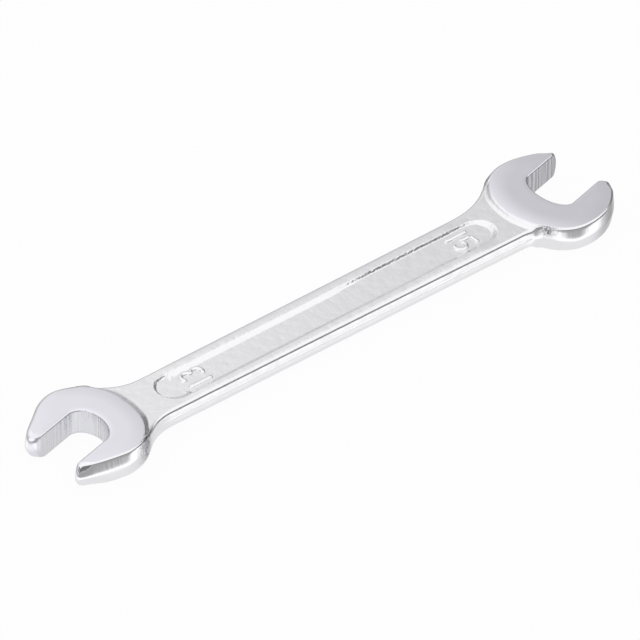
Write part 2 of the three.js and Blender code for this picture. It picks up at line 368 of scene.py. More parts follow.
def is_inside(points, loop, chunk=4000):
    """True for each point that lies within a closed loop, by counting the edges to its right."""
    a, b = loop, np.roll(loop, -1, axis=0)
    found = np.empty(len(points), bool)
    for i in range(0, len(points), chunk):
        x, y = points[i : i + chunk, :1], points[i : i + chunk, 1:]
        spans = (a[:, 1] > y) != (b[:, 1] > y)
        slope = (b[:, 0] - a[:, 0]) / np.where(b[:, 1] == a[:, 1], 1e-12, b[:, 1] - a[:, 1])
        found[i : i + chunk] = (spans & (x < a[:, 0] + (y - a[:, 1]) * slope)).sum(1) % 2 == 1
    return found


def inside_depth(points, loop):
    """Distance of points in from a closed loop, and less than 0 outside it."""
    depth = distance_to(points, np.vstack([loop, loop[:1]]))
    return np.where(is_inside(points, loop), depth, -depth)


# Heights over the plan

# The step between a head's face and the shank: radii of its two arcs where it crosses the shank's
# middle and where it meets the flanks, where it starts, measured in from the head's own outline, and
# the angle from the shank at which it starts to be steep, with the angle that this takes.
STEP_CONVEX = (1.0, 0.5)
STEP_CONCAVE = (1.5, 0.7)
STEP_START = 0.3
STEEP_FROM, STEEP_OVER = 25, 25

# The recess's edge, first near and then far: the width of the step, how far out it starts, and what
# the worn part of the far step adds to its width. A wear place is where it starts and how long it
# takes to pass. The far step is straight by a share, and its bounds slant at the recess's ends.
STEP_WIDTH = (1.8, 0.6)
STEP_OFFSET = (0.8, 0.1)
WORN_WIDER = 1.0
WEAR_STARTS, WEAR_ENDS = (-48, 6), (-6, 26)
FAR_STRAIGHT = 0.6
END_SLANT = 0.9

# The arch of the lips: its height, its middle and half its width as shares of the lip, its lowest
# fall in heights, and how far past the recess's end it goes and over what length it fades there.
LIP_HEIGHT = 0.13
LIP_MIDDLE = 0.32
LIP_HALF = 0.45
LIP_FALL = -1.4
LIP_PAST, LIP_FADE = 2, 8

# The rim of a slot on the face falls by this height within this distance of the slot.
SLOT_DROP, SLOT_DROP_WIDTH = 0.03, 1.6

# A head raises places within this reach of its centre. Its polish starts this far outside the foot
# of its step and is full after the second length.
HEAD_REACH = 26
SHINE_FROM, SHINE_OVER = 0.35, 0.3


def step_drop(depth, drop, steep):
    """How far the surface behind a head has come down, by depth in from the head's outline.

    A convex arc leaves the face level, and a concave arc brings it level with the shank. Both are
    tighter where the step is steep.
    """
    over, under = mix(*STEP_CONVEX, steep), mix(*STEP_CONCAVE, steep)
    lean = np.arccos(1 - drop / (over + under))
    width = (over + under) * np.sin(lean)
    out = np.clip(STEP_START - depth, 0, width)
    convex = over - np.sqrt(np.maximum(over**2 - np.minimum(out, over) ** 2, 0))
    back = np.minimum(width - out, under)
    concave = drop - (under - np.sqrt(np.maximum(under**2 - back**2, 0)))
    return np.where(out < over * np.sin(lean), convex, concave)


def shank_heights(plan, points):
    """Height of the shank's upper surface over the middle plane.

    Its two lips are arched, and between them the recess sinks by a smooth step. The step is wide on
    the near side. On the far side it is narrow and nearly straight at the ends, and wider over the
    left half of the shank, where the real die was worn.
    """
    x = np.abs(points[:, 0] - plan.recess_x)
    beyond = np.maximum(x - plan.recess_reach, 0)
    from_line = np.hypot(beyond, points[:, 1])
    slanted = points[:, 1] - END_SLANT * np.sign(points[:, 0]) * beyond
    far = smooth(0.5 + slanted / np.maximum(from_line, 1e-6))
    worn = smooth((points[:, 0] - WEAR_STARTS[0]) / WEAR_STARTS[1])
    worn = worn * (1 - smooth((points[:, 0] - WEAR_ENDS[0]) / WEAR_ENDS[1]))
    width = mix(STEP_WIDTH[0], STEP_WIDTH[1] + WORN_WIDER * worn, far)
    step = np.clip((plan.recess_half - from_line + mix(*STEP_OFFSET, far)) / width, 0, 1)
    sunk = plan.recess_depth * mix(smooth(step), step, FAR_STRAIGHT * far * (1 - worn))
    across = (from_line - plan.recess_half) / (plan.bar_half - plan.recess_half)
    arch = 1 - ((across - LIP_MIDDLE) / LIP_HALF) ** 2
    lip = LIP_HEIGHT * np.maximum(arch, np.where(across < LIP_MIDDLE, 0, LIP_FALL))
    return plan.bar_mid - sunk + lip * smooth((plan.recess_reach + LIP_PAST - x) / LIP_FADE)


def heights(plan, points):
    """Height of the upper surface over the middle plane, and how near a place is to a head's face.

    A head's face is level but for a slight dome towards its edge. Behind it a double arc comes down
    to the shank.
    """
    top = shank_heights(plan, points)
    face = np.zeros(len(points))
    drop = plan.mid - plan.bar_mid
    for head in plan.heads:
        near = np.abs(points[:, 0] - head.centre[0]) < HEAD_REACH
        p = points[near]
        depth = inside_depth(p, head.edge_line)
        local = head.local(p)
        angle = np.degrees(np.arctan2(local[:, 1], local[:, 0]))
        from_back = np.abs((angle + JAW_ANGLE) % 360 - 180)
        raised = drop - step_drop(depth, drop, smooth((from_back - STEEP_FROM) / STEEP_OVER))
        dome = head.dome * np.clip((head.dome_reach - depth) / head.dome_reach, 0, 1) ** 2
        from_slot = distance_to(p, head.slot_line)
        dome = dome + SLOT_DROP * np.clip(1 - from_slot / SLOT_DROP_WIDTH, 0, 1) ** 2
        share = raised / drop
        top[near] = top[near] * (1 - share) + (plan.mid - dome) * share
        face[near] = np.maximum(face[near], smooth((depth - STEP_START + SHINE_FROM) / SHINE_OVER))
    return top, face


# The grid of the forging

# Counts of columns along the nose, the jaw and the throat or round, and along each neck, and of rows
# across the face. A neck runs from the flare's root to its end on the bar.
TIP, JAW, THROAT = COUNTS = (12, 34, 44)
NECK_COUNTS = (66, 84)
NECK_ENDS = (-50.5, 45.5)
FACE_ROWS = 34

# Places along the bar are closer up to where the recess's left end begins.
BAR_DENSE_TO = -47.0
BAR_COUNTS = (13, 62)

# Rows across the plain shank are grouped on the recess's edge, which ends this far from its middle.
GROUP_FROM, GROUP_TO = [0, 0.22, 0.72, 1], [0, 0.56, 0.8, 1]
GROUP_END, GROUP_FADE = 47.5, 2

# Rows up a wall as shares of its upright part, and angles round its rim. The last rows of a slot's
# wall and the first columns at the jaws' tips are polished like the face.
WALL_STEPS = np.array([0, 0.045, 0.09, 0.16, 0.27, 0.42, 0.6, 0.8])
RIM_TURN = np.radians(np.linspace(0, 90, 8))
POLISHED_ROWS, POLISHED_COLUMNS = 3, 8

# How softly a wall bends into its lean, the height at which a slot's wall would, and the width of
# the ridge that the dies left.
LEAN_SOFT = 0.5
SLOT_LEAN_START = 1.0
RIDGE_WIDTH = 0.15

# Spread of the bell curves that soften the outline and the directions out of it, and the length of
# the bend at each end of the shank's middle line.
LINE_SPREAD, NORMAL_SPREAD = 0.3, 0.7
CENTRE_BEND = 14

# Where the shank's edge becomes the head's: the gap to the rim, and the gap over which it changes.
MERGE_FROM, MERGE_OVER = 0.9, 1.2
BAR_LEAN_START_SHARE = 0.5

# Shares of a jaw's width that its outer and inner roundings may take, and the room at the nose as a
# share of its radius, with the share of the way past it that is added. Elsewhere there is plenty.
OUTER_ROOM, INNER_ROOM = 0.6, 0.3
NOSE_ROOM, PAST_NOSE_ROOM = 0.52, 0.22
PLENTY = 99.0

# The height over which the painted shade in the corner of head and shank grows from nothing to full.
CORNER_SHADE_RISE = 0.8


def centre_line(x, left, right):
    """Y of the line along the middle of the shank, which bends at its ends to meet both throats."""
    fade_left, fade_right = smooth((x - left[0]) / CENTRE_BEND), smooth((right[0] - x) / CENTRE_BEND)
    return left[1] * (1 - fade_left) + right[1] * (1 - fade_right)


def along_line(line):
    """Distance travelled along a line, point by point."""
    return np.concatenate([[0], np.cumsum(np.linalg.norm(np.diff(line, axis=0), axis=1))])


def softened(line, along, spread, step=0.05):
    """Values along a line, each made the mean of those near it by a bell curve of that spread."""
    reach = 4 * spread
    even = np.arange(-reach, along[-1] + reach, step)
    bell = np.exp(-0.5 * (np.arange(-reach, reach + step / 2, step) / spread) ** 2)
    parts = []
    for axis in (0, 1):
        inside = np.interp(even, along, line[:, axis])
        before = 2 * line[0, axis] - np.interp(-even, along, line[:, axis])
        after = 2 * line[-1, axis] - np.interp(2 * along[-1] - even, along, line[:, axis])
        values = np.where(even < 0, before, np.where(even > along[-1], after, inside))
        parts.append(np.interp(along, even, np.convolve(values, bell / bell.sum(), "same")))
    soft = np.stack(parts, 1)
    soft[0], soft[-1] = line[0], line[-1]
    return soft


def towards_outside(line):
    """Unit directions to the left of a line, from the mean of its pieces before and after a point."""
    step = unit(np.diff(line, axis=0))
    tangent = unit(np.vstack([step[:1], step[:-1] + step[1:], step[-1:]]))
    return np.stack([-tangent[:, 1], tangent[:, 0]], 1)


def outer_line(plan, half, bar):
    """The outer edge of one half, from the tip of the small head's jaw to that of the large one's."""
    ends = []
    for head, end, count in zip(plan.heads, NECK_ENDS, NECK_COUNTS):
        x = np.linspace(plan.flare_root(head, half)[0], end, count + 1)[1:]
        neck = np.stack([x, plan.flare(head, half, x)], 1)
        ends.append(np.vstack([plan.head_edge(head, half, COUNTS), neck]))
    middle = np.stack([bar, half * plan.bar_at(bar)], 1)
    return np.vstack([ends[0], middle, ends[1][::-1]])


def soft_lines(plan, half, outer):
    """The outer line and both slot edges, softened as one line, and the directions out of them.

    The line runs from the middle of one throat round the half to the middle of the other, where the
    direction is straight out of the throat, so that both halves meet.
    """
    raw = [plan.slot_edge(head, half, COUNTS) for head in plan.heads]
    line = np.vstack([raw[0][::-1], outer[1:-1], raw[1]])
    way = along_line(line)
    line = softened(line, way, LINE_SPREAD)
    normal = unit(softened(towards_outside(line) * half, way, NORMAL_SPREAD))
    for index, head, own in zip((0, -1), plan.heads, raw):
        other = plan.slot_edge(head, -half, COUNTS)
        across = unit((own[-2] - other[-2])[None])[0]
        toward = np.array([across[1], -across[0]])
        normal[index] = toward * np.sign(toward @ head.forward)

    def split(values):
        n = len(raw[0])
        return values[n - 1 : len(values) - n + 1], (values[:n][::-1], values[-n:])

    return *split(line), *split(normal)


def drawn_back(points, head, side, level):
    """How far points near the tip of a jaw are drawn back at a face, as vectors."""
    along, _, radius, _ = nose_of(head, side)
    reach = head.drawback[side, level]
    length = NOSE_LENGTH * reach
    share = smooth((head.local(points)[:, 0] - (along + radius - length)) / length)
    return reach * share[:, None] * head.forward


def wall_profile(top, edge, lean, start, ridge):
    """Heights of a wall's rows and how far each lies in from the outline, by row and column.

    The wall is upright up to the start, then leans in by the share lean, with a soft bend between
    them. A quarter circle with the edge's radius leads on to the face. A thin ridge runs along the
    middle plane, where the two dies met.
    """
    turn = RIM_TURN[:, None]
    z = np.vstack([WALL_STEPS[:, None] * (top - edge), (top - edge) + edge * np.sin(turn)])
    rim = np.vstack([np.zeros((len(WALL_STEPS), len(top))), edge * (1 - np.cos(turn))])
    bend = (np.sqrt((z - start) ** 2 + LEAN_SOFT**2) + (z - start)) / 2
    bend = bend - (np.sqrt(start**2 + LEAN_SOFT**2) - start) / 2
    inset = lean * bend + rim - ridge * np.exp(-((z / RIDGE_WIDTH) ** 2))
    return z, inset


def raise_wall(plan, line, normal, pull, room, top, level, profile):
    """The grid of a wall that stands on a line, up or down from the middle plane to the surface.

    The profile lies in from the line by no more than the room, and the jaws' ends are pulled back by
    a quarter ellipse. The wall is made twice, because its top row finds its height by its place.
    """
    for _ in range(2):
        z, inset = wall_profile(top, *profile)
        inset = inset * np.minimum(1, room / np.maximum(inset[-1], 1e-6))
        back = 1 - np.sqrt(np.maximum(1 - (z / top) ** 2, 0))
        flat = line - normal * inset[..., None] - pull * back[..., None]
        top, _ = heights(plan, flat[-1])
    wall = np.dstack([flat, level * z])
    wall[-1, :, 2] = level * top
    return wall


def face_grid(plan, bar, slot_rims, border, level):
    """The face of one half, from the slots' rims and the middle line out to its border.

    Also gives how near each of its places is to a head's face.
    """
    left, right = slot_rims
    x_left = np.linspace(left[-1, 0], NECK_ENDS[0], NECK_COUNTS[0] + 1)[1:]
    x_right = np.linspace(right[-1, 0], NECK_ENDS[1], NECK_COUNTS[1] + 1)[1:][::-1]
    x = np.concatenate([x_left, bar, x_right])
    middle = np.stack([x, centre_line(x, left[-1], right[-1])], 1)
    inner = np.vstack([left[:, :2], middle, right[::-1, :2]])
    t = np.linspace(0, 1, FACE_ROWS)
    plain = smooth((GROUP_END - np.abs(inner[:, 0] - plan.recess_x)) / GROUP_FADE)
    share = t[:, None] * (1 - plain) + np.interp(t, GROUP_FROM, GROUP_TO)[:, None] * plain
    flat = mix(inner, border[:, :2], share[..., None])
    tops, near_face = heights(plan, flat.reshape(-1, 2))
    grid = np.dstack([flat, level * tops.reshape(share.shape)])
    grid[-1, :, 2] = border[:, 2]
    grid[0, : len(left), 2] = left[:, 2]
    grid[0, -len(right) :, 2] = right[::-1, 2]
    return grid, near_face.reshape(share.shape)


def forging_half(plan, half):
    """The outer line of one half, and for each level the grids of its face, outer wall and slots.

    All of them are functions of the way along the wrench and of the way across it, or up the wall.
    """
    small, large = plan.heads
    sides = [plan.jaw_side(head, half) for head in plan.heads]
    dense = np.linspace(NECK_ENDS[0], BAR_DENSE_TO, BAR_COUNTS[0])[1:]
    bar = np.concatenate([dense, np.linspace(BAR_DENSE_TO, NECK_ENDS[1], BAR_COUNTS[1])[1:-1]])
    outer = outer_line(plan, half, bar)
    outer, slots, outer_normal, slot_normals = soft_lines(plan, half, outer)
    left = outer[:, 0] < 0
    n = len(slots[0])

    gap = np.minimum(-inside_depth(outer, small.edge_line), -inside_depth(outer, large.edge_line))
    merged = 1 - smooth((gap - MERGE_FROM) / MERGE_OVER)
    start = mix(plan.bar_mid * BAR_LEAN_START_SHARE, plan.head_lean_start, merged)
    ridge = plan.ridge * (1 - merged)
    edge = mix(plan.bar_edge, np.where(left, small.outer_edge[sides[0]], large.outer_edge[sides[1]]), merged)
    room = np.full(len(outer), PLENTY)
    corner_shade, corner_shade_low = np.zeros(len(outer)), np.zeros(len(outer))
    from_tip = smooth(np.arange(TIP) / TIP)
    at_tip = np.append(1 - from_tip, np.zeros(n - TIP))
    along_jaw = smooth(np.arange(TIP + JAW) / (TIP + JAW))
    inner_rooms = []

    # Each head's own end of these values comes first in the views that this loop takes of them.
    for head, side, slot, order in zip(plan.heads, sides, slots, (1, -1)):
        line, own_edge, own_room = outer[::order], edge[::order], room[::order]
        tip = plan.tip_edge(head, side)
        own_edge[: TIP + JAW] = mix(tip, own_edge[: TIP + JAW], along_jaw)
        ridge[::order][:TIP] *= from_tip
        across = np.linalg.norm(line[:n] - slot, axis=1)
        inner_rooms.append(INNER_ROOM * across + tip * at_tip)
        own_room[:n] = OUTER_ROOM * across + tip * at_tip
        _, _, radius, leave = nose_of(head, side)
        way = along_line(line)
        past_nose = np.clip(way - radius * leave, 0, None)
        own_room[:] = np.minimum(own_room, NOSE_ROOM * radius + PAST_NOSE_ROOM * past_nose)
        # A bell along the edge from the flare's root places painted shade in the corner of head and shank.
        shift, spread, low = head.corner_shade
        mine = left[::order] if head is small else ~left[::order]
        from_root = way - way[TIP + JAW + THROAT]
        corner_shade[::order][mine] = np.exp(-(((from_root - shift) / spread) ** 2))[mine]
        corner_shade_low[::order][mine] = low

    levels = {}
    for level in (1, -1):
        leans = [head.outer_lean[side, level] for head, side in zip(plan.heads, sides)]
        lean = mix(plan.bar_lean, np.where(left, *leans), merged)
        lean[:TIP] *= from_tip
        lean[::-1][:TIP] *= from_tip
        top = mix(plan.bar_mid, plan.mid, merged)
        pulls = [drawn_back(outer, head, side, level) for head, side in zip(plan.heads, sides)]
        pull = np.where(left[:, None], *pulls)
        wall = raise_wall(plan, outer, outer_normal, pull, room, top, level, (edge, lean, start, ridge))

        slot_walls = []
        for head, side, slot, normal, inner_room in zip(
            plan.heads, sides, slots, slot_normals, inner_rooms
        ):
            radius = np.full(n, head.inner_edge[side])
            middle = (head.inner_edge[1] + head.inner_edge[-1]) / 2
            from_throat = smooth(np.linspace(1, 0, n - TIP - JAW))
            radius[TIP + JAW :] = mix(middle, radius[0], from_throat)
            radius[:TIP] = mix(plan.tip_edge(head, side), radius[:TIP], from_tip)
            pull = drawn_back(slot, head, side, level)
            top = np.full(n, plan.mid)
            profile = (radius, 0 * radius, SLOT_LEAN_START, 0)
            slot_walls.append(raise_wall(plan, slot, normal, pull, inner_room, top, level, profile))

        rims = [grid[-1] for grid in slot_walls]
        face, near_face = face_grid(plan, bar, rims, wall[-1], level)
        # The corner mask: painted shade on the wall, growing up from its lowest height.
        corner = corner_shade * smooth((wall[..., 2] - corner_shade_low) / CORNER_SHADE_RISE)
        levels[level] = (face, near_face, wall, merged, corner, slot_walls)
    return outer, levels


def grid_faces(rows, columns, first):
    """The quads of a grid of points that are numbered row by row from first."""
    i = np.arange(rows - 1)[:, None] * columns + np.arange(columns - 1) + first
    return np.stack([i, i + 1, i + columns + 1, i + columns], -1).reshape(-1, 4)


def wall_coords(line, wall):
    """Surface coordinates of a wall: the way along its line, and the height."""
    return np.dstack([np.broadcast_to(along_line(line), wall.shape[:2]), wall[..., 2]])


FACE, SKIN, MILLED, FLANK = 0, 1, 2, 3


def build_forging(plan):
    """Arrays of the forging in millimetres, by name.

    They are its points, faces, finishes and surface coordinates, the masks polish and corner, and
    inner, which is true for points within a face, where the normals come from the heights. The
    corner mask places painted shade in the corner of head and shank.
    """
    parts = {key: [] for key in ("verts", "faces", "finish", "coords", "polish", "corner", "inner")}
    count = 0

    def add(grid, kind, outwards, coords, polish, inner=False, corner=0.0):
        nonlocal count
        size = rows, columns = grid.shape[:2]
        quads = grid_faces(rows, columns, count)
        within = np.zeros(size, bool)
        within[1:-1, 1:-1] = inner
        parts["verts"].append(grid.reshape(-1, 3))
        parts["faces"].append(quads if outwards else quads[:, ::-1])
        parts["finish"].append(kind.reshape(-1))
        parts["coords"].append(coords.reshape(-1, 2))
        parts["polish"].append(np.broadcast_to(polish, size).reshape(-1))
        parts["corner"].append(np.broadcast_to(corner, size).reshape(-1))
        parts["inner"].append(within.reshape(-1))
        count += rows * columns

    for half in (1, -1):
        outer, levels = forging_half(plan, half)
        for level, (face, near_face, wall, merged, corner, slots) in levels.items():
            up = half * level > 0
            kind = np.where(near_face[:-1, :-1] > 0.5, FACE, SKIN)
            add(face, kind, up, face[..., :2], near_face, inner=True)
            kind = np.broadcast_to(np.where(merged[:-1] > 0.5, FLANK, SKIN), (len(wall) - 1, len(outer) - 1))
            add(wall, kind, not up, wall_coords(outer, wall), merged, corner=corner)
            for index, slot in enumerate(slots):
                kind = np.full((slot.shape[0] - 1, slot.shape[1] - 1), MILLED)
                kind[-POLISHED_ROWS:] = FACE
                kind[:, :POLISHED_COLUMNS] = FACE
                add(slot, kind, up == (index == 0), wall_coords(slot[0, :, :2], slot), 1.0)
    return {key: np.concatenate(arrays) for key, arrays in parts.items()}


def slopes(plan, points, step=0.01):
    """Slopes of the height along X and Y, from heights a hundredth of a millimetre apart."""
    here, _ = heights(plan, points)
    beside, _ = heights(plan, points + [step, 0])
    behind, _ = heights(plan, points + [0, step])
    return (beside - here) / step, (behind - here) / step


def weld(verts, faces, grain=2e-7, shift=0.37):
    """The first of all points that lie on the same place, and the faces by these points."""
    keys = np.floor(verts / grain + shift).astype(np.int64)
    _, first, index = np.unique(keys, axis=0, return_index=True, return_inverse=True)
    return first, index.reshape(-1)[faces]


def make_object(name, verts, faces, materials, finish=None, coords=None, masks=None, normals=None):
    """A smooth piece at the origin, from points in metres and faces of four corners.

    Points that lie on one place are joined. The surface coordinates stay with the corners of the
    faces, so that a seam keeps both of its sides. Normals of length 0 are left to Blender.
    """
    first, joined = weld(verts, faces)
    again = joined == np.roll(joined, 1, axis=1)
    crossed = (joined[:, 0] == joined[:, 2]) | (joined[:, 1] == joined[:, 3])
    whole = ((~again).sum(1) >= 3) & ~crossed
    joined, again, corners = joined[whole], again[whole], faces[whole]
    lists = [face[~skip].tolist() for face, skip in zip(joined, again)]
    mesh = bpy.data.meshes.new(name)
    mesh.from_pydata(verts[first].tolist(), [], lists)
    for material in materials:
        mesh.materials.append(material)
    if finish is not None:
        mesh.polygons.foreach_set("material_index", finish[whole].astype(np.int32))
    if coords is not None:
        layer = mesh.uv_layers.new(name="surface")
        layer.data.foreach_set("uv", coords[corners[~again]].astype(np.float32).ravel())
    for key, values in (masks or {}).items():
        layer = mesh.attributes.new(key, "FLOAT", "POINT")
        layer.data.foreach_set("value", values[first].astype(np.float32))
    work = bmesh.new()
    work.from_mesh(mesh)
    bmesh.ops.recalc_face_normals(work, faces=work.faces)
    open_edges = sum(1 for edge in work.edges if len(edge.link_faces) != 2)
    work.to_mesh(mesh)
    work.free()
    if open_edges:
        raise RuntimeError(f"{name} has {open_edges} open edges")
    mesh.polygons.foreach_set("use_smooth", np.ones(len(mesh.polygons), bool))
    mesh.update()
    if normals is not None:
        mesh.normals_split_custom_set_from_vertices(normals[first].tolist())
    return add_object(name, mesh)


def add_object(name, data):
    """An object at the origin that shows a mesh or a camera."""
    added = bpy.data.objects.new(name, data)
    bpy.context.scene.collection.objects.link(added)
    return added


def settled(verts, middle, plan):
    """Points in metres in the CAD's frame, from millimetres round the middle plane."""
    return (verts - [middle[0], middle[1], -plan.mid]) * MM


# Numerals

# Each stroke is a line between two points or an arc with its centre, radius and two angles. A pair of
# digits has its name, its place along the shank, and its turn.
STROKE_WIDTH = 1.4
STROKE_HEIGHT = 0.5
STROKE_SINK = 0.25
STROKE_POINTS = 28
STROKE_LEAST = 0.0025
SECTION_POINTS = 12
DIGIT_SHIFTS = (-2.5, 1.1)
NUMERALS = {
    "1": [("line", (0, -3.6), (0, 3.6))],
    "3": [("arc", (0, 1.5), 1.5, 150, -90), ("arc", (0, -1.5), 1.5, 90, -150)],
    "5": [
        ("line", (1.7, 3.0), (-1.5, 3.0)),
        ("line", (-1.5, 3.0), (-1.5, -0.7)),
        ("arc", (0, -1.5), 1.5, 145, -148),
    ],
}
PAIRS = (("numerals_13", "13", -41.4, 90), ("numerals_15", "15", 43.9, -90))


def stroke_path(stroke):
    """Points along one stroke of a numeral, straight or round."""
    t = np.linspace(0, 1, STROKE_POINTS)[:, None]
    start = np.array(stroke[1], float)
    if stroke[0] == "line":
        return mix(start, np.array(stroke[2], float), t)
    angle = np.radians(mix(stroke[3], stroke[4], t[:, 0]))
    return start + stroke[2] * np.stack([np.cos(angle), np.sin(angle)], 1)


def rib(path):
    """A rounded rib carried along a path: half an ellipse in section, drawn in at both ends.

    Across the path the section is half the stroke's width times the cosine, and up it is the height
    times the sine, over a foot that goes down by the sink.
    """
    along = along_line(path)
    end = np.minimum(along, along[-1] - along) / (STROKE_WIDTH / 2)
    size = np.sqrt(np.clip(1 - (1 - np.clip(end, 0, 1)) ** 2, STROKE_LEAST, 1))
    tangent = unit(np.gradient(path, axis=0))
    side = np.stack([-tangent[:, 1], tangent[:, 0]], 1)
    turn = np.linspace(0, math.pi, SECTION_POINTS)
    across = np.concatenate([[1.0], np.cos(turn), [-1.0]]) * STROKE_WIDTH / 2
    up = np.concatenate([[-STROKE_SINK], STROKE_HEIGHT * np.sin(turn), [-STROKE_SINK]])
    grid = np.empty((len(path), len(across), 3))
    grid[..., :2] = path[:, None] + side[:, None] * (across * size[:, None])[..., None]
    grid[..., 2] = np.where(up > 0, up * size[:, None], up)
    return grid


def build_numerals(plan, digits, x, turn):
    """Points and faces of a pair of raised numerals on both sides of the shank, in millimetres."""
    verts, faces, count = [], [], 0
    c, s = math.cos(math.radians(turn)), math.sin(math.radians(turn))
    for digit, shift in zip(digits, DIGIT_SHIFTS):
        for stroke in NUMERALS[digit]:
            path = (stroke_path(stroke) + [shift, 0]) @ np.array([[c, s], [-s, c]]) + [x, 0]
            grid = rib(path)
            grid[..., 2] += plan.bar_mid - plan.recess_depth
            rows, columns = grid.shape[:2]
            ring = np.arange(rows - 1)[:, None] * columns
            foot = np.hstack([ring, ring + columns, ring + 2 * columns - 1, ring + columns - 1])
            half = np.arange(columns // 2 - 1)[:, None]
            cap = np.hstack([half, half + 1, columns - 2 - half, columns - 1 - half])
            closed = np.vstack([grid_faces(rows, columns, 0), foot, cap, cap + (rows - 1) * columns])
            for level in (1, -1):
                verts.append((grid * [1, level, level]).reshape(-1, 3))
                faces.append(closed + count)
                count += rows * columns
    return np.vstack(verts), np.vstack(faces)


# Materials

# Lengths from here on are metres, so a noise of scale 1000 has a wave to the millimetre. Surface
# coordinates are millimetres.


def add_node(tree, kind, inputs=None, **settings):
    """Adds a shader node of a kind, sets its properties, and feeds its inputs.

    An input gets a constant value or the output of another node.
    """
    node = tree.nodes.new("ShaderNode" + kind)
    for key, value in settings.items():
        setattr(node, key, value)
    for key, value in (inputs or {}).items():
        feed(tree, node.inputs[key], value)
    return node


def feed(tree, socket, value):
    """Gives an input a constant value or the output of another node."""
    if isinstance(value, bpy.types.NodeSocket):
        tree.links.new(value, socket)
    else:
        socket.default_value = value


def maths(tree, operation, *values):
    """The result of a sum over constants and outputs."""
    return add_node(tree, "Math", dict(enumerate(values)), operation=operation).outputs[0]


def noise(tree, place, scale, detail, dimensions="3D"):
    """A noise pattern over a place, by its waves to one unit of the place and its finer layers."""
    inputs = {"Vector": place, "Scale": scale, "Detail": detail}
    return add_node(tree, "TexNoise", inputs, noise_dimensions=dimensions).outputs["Fac"]


def stretched(tree, place, scale, turn=0.0):
    """A place with its axes stretched by the scale, and turned about Z."""
    inputs = {"Vector": place, "Scale": scale, "Rotation": (0, 0, turn)}
    return add_node(tree, "Mapping", inputs).outputs[0]


def ramp(tree, source, stops):
    """A grey ramp over a value, from pairs of place and level."""
    node = add_node(tree, "ValToRGB", {"Fac": source})
    elements = node.color_ramp.elements
    while len(elements) < len(stops):
        elements.new(0.5)
    for element, (place, level) in zip(elements, stops):
        element.position = place
        element.color = grey(level)
    return node.outputs["Color"]


def blend(tree, share, a, b):
    """A mix of two colours or outputs by a share."""
    return add_node(tree, "Mix", {"Factor": share, 6: a, 7: b}, data_type="RGBA").outputs[2]


def grey(level):
    """A neutral colour of that linear level."""
    return (level, level, level, 1.0)


def mask(tree, name):
    """The value of one of the forging's masks."""
    return add_node(tree, "Attribute", attribute_name=name).outputs["Fac"]


def object_place(tree):
    """The place in the piece's own metres."""
    return add_node(tree, "TexCoord").outputs["Object"]


def surface_place(tree):
    """The place by the piece's own surface coordinates."""
    return add_node(tree, "UVMap", uv_map="surface").outputs[0]


def new_material(name):
    """An empty material with its surface shader, ready for a pattern."""
    material = bpy.data.materials.new(name)
    material.use_nodes = True
    return material, material.node_tree, material.node_tree.nodes["Principled BSDF"]


def plated(material, tree, shader, colour, haze, stops, height, strength, depth):
    """Finishes a plating: its colour, its roughness over a haze, and the depth of its marks."""
    feed(tree, shader.inputs["Base Color"], colour)
    feed(tree, shader.inputs["Metallic"], 1.0)
    feed(tree, shader.inputs["Roughness"], ramp(tree, haze, stops))
    bump = add_node(tree, "Bump", {"Height": height, "Strength": strength, "Distance": depth})
    feed(tree, shader.inputs["Normal"], bump.outputs["Normal"])
    return material


def opaque(colour):
    """A property's colour with full alpha."""
    return colour[:] + (1.0,)


def corner_shade_colour(tree, finish):
    """Painted shade in specks, mixed into the plate's colour in the corner of head and shank."""
    patchy = ramp(tree, noise(tree, object_place(tree), 2300.0, 2.0), [(0.4, 0.35), (0.6, 1.0)])
    share = maths(tree, "MULTIPLY", mask(tree, "corner"), patchy)
    return blend(tree, share, opaque(finish.skin_colour), opaque(finish.corner_shade_colour))


def polished_chrome(finish):
    """Bright chromium plate over nickel on steel that was ground and buffed flat before plating.

    The eye gets a clear mirror with a faint haze, and buffing lines a few hundredths of a millimetre
    deep, drawn 0.6 mm apart because finer ones would not show.
    """
    material, tree, shader = new_material("polished_chromium_plate")
    place = object_place(tree)
    haze = noise(tree, place, 160.0, 3.0)
    lines = noise(tree, stretched(tree, place, (60, 1600, 60), 0.25), 1.0, 2.0)
    colour, stops = opaque(finish.plate_colour), [(0.35, 0.085), (0.7, 0.14)]
    return plated(material, tree, shader, colour, haze, stops, lines, strength=0.03, depth=0.0001)


def forged_chrome(finish):
    """Chromium plate over the skin of a drop forging that was only tumbled before plating.

    The eye gets soft broken reflections: shallow dimples 1 to 3 mm across from the scale that came
    off, and a finer grain of 0.3 mm. Both fade where the heads were polished. On steep places, such
    as the recess's edge, the scale left coarser pits.
    """
    material, tree, shader = new_material("plated_forging_skin")
    place = object_place(tree)
    dimples = noise(tree, place, 420.0, 2.0)
    both = maths(tree, "MULTIPLY_ADD", noise(tree, place, 2400.0, 2.0), 0.22, dimples)
    faded = maths(tree, "MULTIPLY", both, maths(tree, "SUBTRACT", 1.0, mask(tree, "polish")))
    pitted = maths(tree, "MULTIPLY_ADD", noise(tree, place, 1300.0, 1.0), mask(tree, "coarse"), faded)
    # The colour carries painted shade in the corner of head and shank.
    colour, stops = corner_shade_colour(tree, finish), [(0.3, 0.16), (0.75, 0.28)]
    return plated(material, tree, shader, colour, dimples, stops, pitted, strength=0.24, depth=0.0002)


def ground_chrome(finish):
    """Bright chromium plate over the upright sides of the heads, which were ground on a belt.

    The eye gets a bright mirror with fine upright scratches from face to face, 0.5 to 2 mm apart.
    """
    material, tree, shader = new_material("plated_ground_steel")
    cuts = noise(tree, stretched(tree, surface_place(tree), (1.5, 0.05, 1)), 1.0, 3.0, "2D")
    # The colour carries painted shade in the corner of head and shank.
    colour, stops = corner_shade_colour(tree, finish), [(0.3, 0.1), (0.7, 0.18)]
    return plated(material, tree, shader, colour, cuts, stops, cuts, strength=0.14, depth=0.0002)


